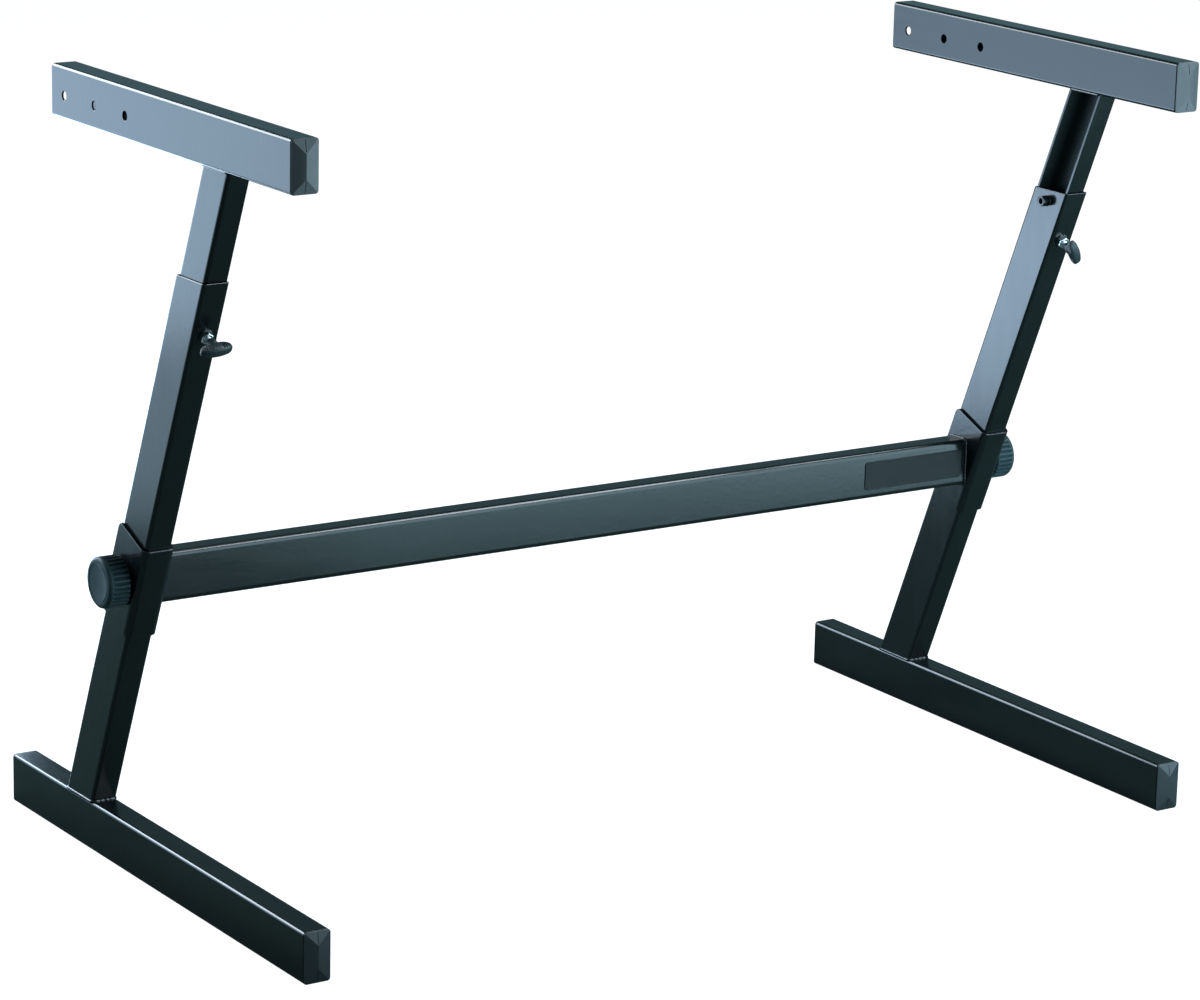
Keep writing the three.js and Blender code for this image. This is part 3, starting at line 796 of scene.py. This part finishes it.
def knob_body(local_frame):
    """A ridged knob with a plain rounded rim and a dished face inside a fine ring groove.

    The radius is the profile's, less the ridge depth times a mask along the side times a soft square wave of
    the turn.
    """
    r, h = KNOB_RADIUS, KNOB_HEIGHT
    profile = [(0, 0), (r - 3.5, 0), (r - 2.2, 0.3)]
    profile += [(r, z) for z in np.linspace(KNOB_SIDE_FROM, KNOB_SIDE_TO + 1.6, 14)]
    for turn in np.linspace(0, math.pi / 2, 7):
        profile.append((r - KNOB_RIM * (1 - math.cos(turn)), h - KNOB_RIM + KNOB_RIM * math.sin(turn)))
    profile += [(KNOB_RING + 0.6, h), (KNOB_RING + 0.3, h - KNOB_RING_DEPTH)]
    profile += [(KNOB_RING - 0.3, h - KNOB_RING_DEPTH), (KNOB_RING - 0.6, h - 0.15)]
    profile += [(KNOB_RING - 1.2, h - 0.2), (8.0, h - 0.75), (0, h - KNOB_DISH)]

    def radius(plain, z, angle):
        wave = np.clip(0.4 - 1.3 * np.cos(KNOB_RIDGES * angle), 0, 1)
        start = np.clip((z - KNOB_SIDE_FROM + 0.4) / 0.6, 0, 1)
        stop = np.clip((KNOB_SIDE_TO + 1.2 - z) / 2.2, 0, 1)
        on_side = plain > r - 0.01
        return plain - KNOB_RIDGE_DEPTH * wave * start * stop * on_side

    return turned(profile, local_frame, cols=12 * KNOB_RIDGES, radius=radius)


def mark_groove_shade(knob):
    """Sets the groove attribute, which masks painted shade: 0 at the ridges' tops, and 1 from halfway down a
    groove.

    It is the depth below the knob's radius over half the ridges' depth, held under 1, on the side only.
    """
    mesh = knob.data
    points = np.empty(len(mesh.vertices) * 3)
    mesh.vertices.foreach_get("co", points)
    points = points.reshape(-1, 3) / MM
    y, z = axle_point()
    depth = KNOB_RADIUS - np.hypot(points[:, 1] - y, points[:, 2] - z)
    side_end = FRAME_X + FLANGE_OUTSIDE + WASHER_THICKNESS + KNOB_HEIGHT - KNOB_RIM - GAP
    on_side = np.abs(points[:, 0]) < side_end
    groove = np.clip(depth / (0.5 * KNOB_RIDGE_DEPTH), 0, 1) * on_side
    mesh.attributes.new("groove", "FLOAT", "POINT").data.foreach_set("value", groove)


def make_sleeve(side, sign):
    """A hollow sleeve in the upright's inner wall: out, over its mouth, and back down the bore."""
    inward = -sign
    local = moved(
        upright_frame(sign),
        (inward * TUBE_WIDTH / 2, SLEEVE_SETBACK, SLEEVE_CENTRE),
        [[0, 1, 0], [0, 0, 1], [inward, 0, 0]],
    )
    r, b, out, deep = SLEEVE_RADIUS, SLEEVE_BORE, SLEEVE_OUT, SLEEVE_IN
    profile = [
        (r - EDGE, -deep),
        (r, EDGE - deep),
        (r, 0.3),
        (r, out - 0.35),
        (r - 0.1, out - 0.1),
        (r - 0.35, out),
        (b + 0.2, out),
        (b, out - 0.2),
        (b, EDGE - deep),
        (b + EDGE, -deep),
    ]
    tube = turned(profile, local, cols=48, wrap_rows=True)
    seam = turned_ring(r + 0.1, SLEEVE_BEAD, local)
    piece = mesh_object(f"{side}_hollow_sleeve", [tube, seam])
    dress(piece, "base", "frame_paint", paint_weld, f"{side}_guide_sleeve")


def make_crossbar():
    """The tube between the brackets, with a weld round each end."""
    y, z = axle_point()
    local = (np.array([0.0, y, z]), np.array([[0.0, 1, 0], [0, 0, 1], [1, 0, 0]]))
    half = CROSSBAR_LENGTH / 2
    low, high = flat(-half - WELD_LAP), flat(half + WELD_LAP)
    tube = hollow_tube(TUBE_WIDTH, TUBE_HEIGHT, CROSSBAR_CORNER, TUBE_WALL, low, high, local)
    dress(mesh_object("crossbar_tube", [tube]), "base", "frame_paint", paint_along_x, "crossbar")
    for side, sign in (("left", -1), ("right", 1)):
        spot = moved(local, (0, 0, sign * (half + WELD_LAP / 2)))
        around = ring(TUBE_WIDTH + 2 * BEAD_OUT, TUBE_HEIGHT + 2 * BEAD_OUT, CROSSBAR_CORNER + BEAD_OUT)
        weld_bead = bead(around, CROSSBAR_BEAD, spot, ripples=40)
        add_weld(f"crossbar_{side}_weld", "base", weld_bead)


def make_plate():
    """The bare plate on the crossbar's front: a flat rounded plate with a narrow raised border."""
    y, z = axle_point()
    middle = CROSSBAR_LENGTH / 2 - PLATE_FROM_END - PLATE_LENGTH / 2
    local = (np.array([middle, y - TUBE_WIDTH / 2, z]), np.array([[1.0, 0, 0], [0, 0, 1], [0, -1, 0]]))
    top = GAP + PLATE_THICKNESS
    inside = top - PLATE_SINK
    steps = [(0, 0.0), (0, top - 0.25), (0.25, top), (1.0, top), (1.25, inside), (1.8, inside)]
    rows = [(ring(PLATE_LENGTH - 0.1, PLATE_HEIGHT - 0.1, PLATE_CORNER) * MIDDLE, 0.0)]
    for inset, height in steps:
        outline = ring(PLATE_LENGTH - 2 * inset, PLATE_HEIGHT - 2 * inset, max(PLATE_CORNER - inset, 0.6))
        rows.append((outline, height))
    rows.append((rows[-1][0] * MIDDLE, inside))
    plate = shell(stack_rows(rows), local)
    dress(mesh_object("bare_name_plate", [plate]), "base", "plate_film", plate_film, "name_plate_blank")


# Effects shared by the materials


def new_group(name, inputs, outputs):
    """An empty node group with the named inputs and number outputs, and its two end nodes."""
    group = bpy.data.node_groups.new(name, "ShaderNodeTree")
    for socket, kind in inputs.items():
        group.interface.new_socket(socket, in_out="INPUT", socket_type=kind)
    for socket in outputs:
        group.interface.new_socket(socket, in_out="OUTPUT", socket_type="NodeSocketFloat")
    return group, group.nodes.new("NodeGroupInput"), group.nodes.new("NodeGroupOutput")


def noise(tree, vector, scale, detail, roughness):
    """A fractal noise over the vector. Its scale is a number or a socket."""
    node = tree.nodes.new("ShaderNodeTexNoise")
    node.inputs["Detail"].default_value = detail
    node.inputs["Roughness"].default_value = roughness
    tree.links.new(vector, node.inputs["Vector"])
    if isinstance(scale, (int, float)):
        node.inputs["Scale"].default_value = scale
    else:
        tree.links.new(scale, node.inputs["Scale"])
    return node.outputs["Fac"]


def ranged(tree, value, from_low, from_high, to_low, to_high):
    """Maps a value from one range to another, held inside it."""
    node = tree.nodes.new("ShaderNodeMapRange")
    tree.links.new(value, node.inputs["Value"])
    limits = {"From Min": from_low, "From Max": from_high, "To Min": to_low, "To Max": to_high}
    for name, number in limits.items():
        node.inputs[name].default_value = number
    return node.outputs["Result"]


def make_skin_group():
    """Painted or moulded skin: a fine ripple for the height, soft patches, and specks of dust.

    Each is a fractal noise. The streaks' own is read from the stretched vector, so that they run along the
    tube.
    """
    inputs = {
        "Vector": "NodeSocketVector",
        "Stretched": "NodeSocketVector",
        "Ripple scale": "NodeSocketFloat",
        "Patch scale": "NodeSocketFloat",
    }
    group, start, end = new_group("skin", inputs, ["Ripple", "Patches", "Streaks", "Dust"])
    ripple = noise(group, start.outputs["Vector"], start.outputs["Ripple scale"], 2.0, 0.45)
    patches = noise(group, start.outputs["Vector"], start.outputs["Patch scale"], 4.0, 0.6)
    streaks = noise(group, start.outputs["Stretched"], STREAK_SCALE, 3.0, 0.6)
    specks = noise(group, start.outputs["Vector"], DUST_SCALE, 1.0, 0.5)
    dust = ranged(group, specks, 0.66, 0.78, 0.0, 1.0)
    for name, value in (("Ripple", ripple), ("Patches", patches), ("Streaks", streaks), ("Dust", dust)):
        group.links.new(value, end.inputs[name])
    return group


def start_material(name):
    """A new material, with its node tree and its shader."""
    material = bpy.data.materials.new(name)
    material.use_nodes = True
    tree = material.node_tree
    return material, tree, tree.nodes["Principled BSDF"]


def skin(tree, rotation, stretch, ripple_scale):
    """The skin group on the piece's own coordinates: plain, and turned and then stretched."""
    place = tree.nodes.new("ShaderNodeTexCoord")
    mapping = tree.nodes.new("ShaderNodeMapping")
    mapping.inputs["Rotation"].default_value = rotation
    mapping.inputs["Scale"].default_value = stretch
    tree.links.new(place.outputs["Object"], mapping.inputs["Vector"])
    node = tree.nodes.new("ShaderNodeGroup")
    node.node_tree = skin_group
    tree.links.new(place.outputs["Object"], node.inputs["Vector"])
    tree.links.new(mapping.outputs["Vector"], node.inputs["Stretched"])
    node.inputs["Ripple scale"].default_value = ripple_scale
    node.inputs["Patch scale"].default_value = PATCH_SCALE
    return node


def two_colours(tree, factor, dark, light):
    """A mix of two colours by a factor."""
    node = tree.nodes.new("ShaderNodeMix")
    node.data_type = "RGBA"
    node.inputs["A"].default_value = (*dark, 1)
    node.inputs["B"].default_value = (*light, 1)
    tree.links.new(factor, node.inputs["Factor"])
    return node.outputs["Result"]


def bumped(tree, shader, height, distance):
    """Tilts the shader's normal by a height in metres, where a height of 1 is the distance."""
    node = tree.nodes.new("ShaderNodeBump")
    node.inputs["Strength"].default_value = 1.0
    node.inputs["Distance"].default_value = distance
    tree.links.new(height, node.inputs["Height"])
    tree.links.new(node.outputs["Normal"], shader.inputs["Normal"])


def skin_material(
    name,
    dark,
    light,
    roughness,
    ripple_scale,
    ripple_depth,
    rotation=(0, 0, 0),
    stretch=(1, 1, 1),
    ior=1.45,
    metallic=0.0,
):
    """Paint, plastic or plating: patchy colour, streaky roughness and a fine ripple in the surface."""
    material, tree, shader = start_material(name)
    group = skin(tree, rotation, stretch, ripple_scale)
    patches = ranged(tree, group.outputs["Patches"], 0.35, 0.65, 0.0, 1.0)
    tree.links.new(two_colours(tree, patches, dark, light), shader.inputs["Base Color"])
    low, high = roughness
    streaks = ranged(tree, group.outputs["Streaks"], 0.3, 0.7, low, high)
    dusty = tree.nodes.new("ShaderNodeMath")
    dusty.operation = "MULTIPLY_ADD"
    dusty.inputs[1].default_value = DUST_ROUGHNESS
    tree.links.new(group.outputs["Dust"], dusty.inputs[0])
    tree.links.new(streaks, dusty.inputs[2])
    tree.links.new(dusty.outputs["Value"], shader.inputs["Roughness"])
    bumped(tree, shader, group.outputs["Ripple"], ripple_depth)
    shader.inputs["IOR"].default_value = ior
    shader.inputs["Metallic"].default_value = metallic
    return material


skin_group = make_skin_group()


def paint(name, rotation=(0, 0, 0), stretch=(1, 1, 1), ripple_depth=0.00004):
    """The frame's semi-gloss black, with its streaks along one direction."""
    return skin_material(
        name,
        dark=PAINT_DARK,
        light=PAINT_LIGHT,
        roughness=PAINT_ROUGHNESS,
        ripple_scale=PAINT_RIPPLE_SCALE,
        ripple_depth=ripple_depth,
        rotation=rotation,
        stretch=stretch,
        ior=PAINT_IOR,
    )


def dull_inside(material):
    """Where the piece's inside attribute is 1, the paint is a dusty, dull coat, not a semi-gloss one."""
    tree = material.node_tree
    shader = tree.nodes["Principled BSDF"]
    mark = tree.nodes.new("ShaderNodeAttribute")
    mark.attribute_name = "inside"
    for name, dull in (("Base Color", (*INSIDE_COLOUR, 1)), ("Roughness", INSIDE_ROUGHNESS)):
        outside = shader.inputs[name].links[0].from_socket
        mix = tree.nodes.new("ShaderNodeMix")
        mix.data_type = "RGBA" if name == "Base Color" else "FLOAT"
        first = [socket for socket in mix.inputs if socket.name == "A" and socket.enabled][0]
        second = [socket for socket in mix.inputs if socket.name == "B" and socket.enabled][0]
        second.default_value = dull
        result = [socket for socket in mix.outputs if socket.enabled][0]
        tree.links.new(mark.outputs["Fac"], mix.inputs["Factor"])
        tree.links.new(outside, first)
        tree.links.new(result, shader.inputs[name])


def paint_groove_shade(material):
    """Painted shade in the grooves: where the piece's groove attribute is 1, the surface reflects next to
    nothing.
    """
    tree = material.node_tree
    mark = tree.nodes.new("ShaderNodeAttribute")
    mark.attribute_name = "groove"
    shine = ranged(tree, mark.outputs["Fac"], 0.0, 1.0, RIDGE_SPECULAR, GROOVE_SPECULAR)
    tree.links.new(shine, tree.nodes["Principled BSDF"].inputs["Specular IOR Level"])


paint_along_x = paint("paint_along_x", stretch=(ALONG, 1, 1))
paint_along_y = paint("paint_along_y", stretch=(1, ALONG, 1))
paint_leaning = paint("paint_leaning", rotation=(-LEAN, 0, 0), stretch=(1, 1, ALONG))
paint_weld = paint("paint_weld", ripple_depth=WELD_RIPPLE_DEPTH)
paint_channel = paint("paint_channel", rotation=(-LEAN, 0, 0), stretch=(1, 1, ALONG))
dull_inside(paint_channel)
cap_plastic = skin_material(
    "cap_plastic",
    dark=(0.010, 0.013, 0.015),
    light=(0.014, 0.018, 0.021),
    roughness=(0.38, 0.46),
    ripple_scale=900.0,
    ripple_depth=0.00003,
    ior=1.46,
)
knob_plastic = skin_material(
    "knob_plastic",
    dark=(0.010, 0.018, 0.020),
    light=(0.013, 0.023, 0.025),
    roughness=(0.40, 0.48),
    ripple_scale=1100.0,
    ripple_depth=0.00003,
    ior=1.36,
)
ridged_plastic = skin_material(
    "ridged_plastic",
    dark=(0.018, 0.031, 0.034),
    light=(0.022, 0.038, 0.042),
    roughness=(0.34, 0.42),
    ripple_scale=1100.0,
    ripple_depth=0.00003,
    ior=1.18,
)
# Painted shade: the knob's grooves reflect next to nothing, so they render dark
paint_groove_shade(ridged_plastic)
plated_steel = skin_material(
    "plated_steel",
    dark=(0.52, 0.54, 0.56),
    light=(0.66, 0.68, 0.70),
    roughness=(0.20, 0.32),
    ripple_scale=800.0,
    ripple_depth=0.00001,
    metallic=1.0,
)
plate_film = skin_material(
    "plate_film",
    dark=(0.0035, 0.0055, 0.0060),
    light=(0.0055, 0.0085, 0.0090),
    roughness=(0.55, 0.62),
    ripple_scale=300.0,
    ripple_depth=0.00001,
    ior=1.3,
)

# The stand
for side, sign in (("left", -1), ("right", 1)):
    make_foot(side, sign)
    make_upright(side, sign)
    make_post(side, sign)
    make_arm(side, sign)
    make_bracket(side, sign)
    make_clamp(side, sign)
    make_knob(side, sign)
make_sleeve("right", 1)
make_crossbar()
make_plate()


# The studio


def math_node(tree, operation, first, second):
    """The result of one operation on a socket and a socket or number."""
    node = tree.nodes.new("ShaderNodeMath")
    node.operation = operation
    tree.links.new(first, node.inputs[0])
    if isinstance(second, (int, float)):
        node.inputs[1].default_value = second
    else:
        tree.links.new(second, node.inputs[1])
    return node.outputs["Value"]


def white_share(tree):
    """How much of the white background a ray sees: all of it from the camera, a little in reflections."""
    rays = tree.nodes.new("ShaderNodeLightPath")
    mirrored = math_node(tree, "MAXIMUM", rays.outputs["Is Glossy Ray"], rays.outputs["Is Transmission Ray"])
    share = math_node(tree, "MULTIPLY", mirrored, MIRRORED_WHITE)
    return math_node(tree, "MAXIMUM", rays.outputs["Is Camera Ray"], share)


def make_floor():
    """A wide flat floor. The camera sees it white with soft shadows, and all else mostly its plain colour."""
    corners = np.array([[-1, -1, 0], [1, -1, 0], [1, 1, 0], [-1, 1, 0]]) * FLOOR_REACH
    mesh = bpy.data.meshes.new("floor")
    mesh.from_pydata(corners.tolist(), [], [(0, 1, 2, 3)])
    floor = bpy.data.objects.new("floor", mesh)
    bpy.context.scene.collection.objects.link(floor)
    material, tree, shader = start_material("pale_floor")
    shader.inputs["Roughness"].default_value = 0.9
    shader.inputs["Specular IOR Level"].default_value = 0.0
    glow = tree.nodes.new("ShaderNodeEmission")
    glow.inputs["Color"].default_value = (1, 1, 1, 1)
    glow.inputs["Strength"].default_value = FLOOR_GLOW
    share = white_share(tree)
    tree.links.new(two_colours(tree, share, FLOOR_GREY, (1, 1, 1)), shader.inputs["Base Color"])
    mix = tree.nodes.new("ShaderNodeMixShader")
    tree.links.new(math_node(tree, "MULTIPLY", share, FLOOR_GLOW_SHARE), mix.inputs["Fac"])
    tree.links.new(shader.outputs["BSDF"], mix.inputs[1])
    tree.links.new(glow.outputs["Emission"], mix.inputs[2])
    tree.links.new(mix.outputs["Shader"], tree.nodes["Material Output"].inputs["Surface"])
    mesh.materials.append(material)


def make_world():
    """White where the camera looks. All else sees a cool grey that darkens with the height of the ray."""
    world = bpy.data.worlds.new("studio")
    bpy.context.scene.world = world
    world.use_nodes = True
    tree = world.node_tree
    background = tree.nodes["Background"]
    direction = tree.nodes.new("ShaderNodeTexCoord")
    parts = tree.nodes.new("ShaderNodeSeparateXYZ")
    tree.links.new(direction.outputs["Generated"], parts.inputs["Vector"])
    rise = ranged(tree, parts.outputs["Z"], HORIZON_RISE, UPPER_RISE, 0.0, 1.0)
    grey = two_colours(tree, rise, WORLD_LOW, WORLD_HIGH)
    colour = two_colours(tree, white_share(tree), (0, 0, 0), (1, 1, 1))
    tree.links.new(grey, colour.node.inputs["A"])
    tree.links.new(colour, background.inputs["Color"])


def make_lamp(name, at, toward, size, radiance, colour):
    """A rectangular lamp of an even radiance, aimed at a point: its power is pi times radiance times area."""
    data = bpy.data.lights.new(name, "AREA")
    data.shape = "RECTANGLE"
    data.size, data.size_y = size
    data.energy = radiance * math.pi * size[0] * size[1]
    data.color = colour
    lamp = bpy.data.objects.new(name, data)
    bpy.context.scene.collection.objects.link(lamp)
    lamp.location = at
    lamp.rotation_euler = (Vector(toward) - Vector(at)).to_track_quat("-Z", "Y").to_euler()
    lamp.visible_camera = False
    return lamp


def make_camera():
    """The photograph's view, with no shift. Its place, angles and focal length were fitted to its edges."""
    level_cosine = math.cos(CAMERA_PITCH)
    ahead = Vector(
        (-math.sin(CAMERA_YAW) * level_cosine, math.cos(CAMERA_YAW) * level_cosine, -math.sin(CAMERA_PITCH))
    )
    right = ahead.cross(Vector((0, 0, 1))).normalized()
    up = right.cross(ahead)
    turned_right = math.cos(CAMERA_ROLL) * right + math.sin(CAMERA_ROLL) * up
    turned_up = math.cos(CAMERA_ROLL) * up - math.sin(CAMERA_ROLL) * right
    data = bpy.data.cameras.new("camera")
    data.sensor_width = SENSOR_WIDTH
    data.lens = FOCAL_LENGTH_IN_PIXELS / PHOTO_WIDTH * SENSOR_WIDTH
    data.clip_end = 200.0
    camera = bpy.data.objects.new("camera", data)
    bpy.context.scene.collection.objects.link(camera)
    turn = Matrix((turned_right, turned_up, -ahead)).transposed()
    camera.matrix_world = Matrix.Translation(CAMERA_AT) @ turn.to_4x4()
    bpy.context.scene.camera = camera


make_floor()
make_world()
make_camera()

# Above: the even light on the tops, and the main light from the right
make_lamp(
    "overhead", at=(0.186, -0.558, 2.976), toward=(0, 0, 0.279),
    size=(2.976, 2.79), radiance=1.2, colour=(0.84, 0.93, 1.0),
)
make_lamp(
    "right_key", at=(1.488, -0.7905, 2.558), toward=(0.093, 0, 0.186),
    size=(1.767, 1.023), radiance=17.0, colour=(0.80, 0.90, 1.0),
)

# Behind: the faces turned to the left and their upper edges mirror these
make_lamp(
    "upper_rear_panel", at=(-1.069, 1.953, 1.442), toward=(0, 0, 0.465),
    size=(1.581, 0.93), radiance=14.0, colour=(0.82, 0.91, 1.0),
)
make_lamp(
    "left_panel", at=(-1.628, 0.4185, 0.4464), toward=(0, 0.186, 0.4464),
    size=(1.023, 0.7905), radiance=1.3, colour=(0.62, 0.82, 1.0),
)
make_lamp(
    "rear_left_panel", at=(-1.023, 1.06, 0.52), toward=(-0.4185, -0.0279, 0.52),
    size=(1.488, 0.59), radiance=3.2, colour=(0.55, 0.76, 1.0),
)
make_lamp(
    "rear_left_glow", at=(-1.05, 1.10, 0.44), toward=(-0.4185, -0.0279, 0.44),
    size=(1.60, 0.90), radiance=1.8, colour=(0.55, 0.78, 1.0),
)
make_lamp(
    "rear_low_panel", at=(-0.3255, 0.8835, 0.186), toward=(0.4371, -0.0558, 0.186),
    size=(0.651, 0.3162), radiance=8.5, colour=(0.55, 0.76, 1.0),
)

# In front, to the right: the crossbar's front and the caps mirror these
make_lamp(
    "front_right_panel", at=(0.66, -0.88, 0.558), toward=(0.34, 0, 0.5115),
    size=(1.42, 1.079), radiance=5.8, colour=(0.60, 0.86, 1.0),
)
make_lamp(
    "front_floor_sheet", at=(0.7905, -1.042, 0.00372), toward=(0.7905, -1.042, 0.93),
    size=(1.209, 0.744), radiance=2.0, colour=(0.50, 0.86, 1.0),
)

bpy.context.scene.view_settings.view_transform = "Standard"
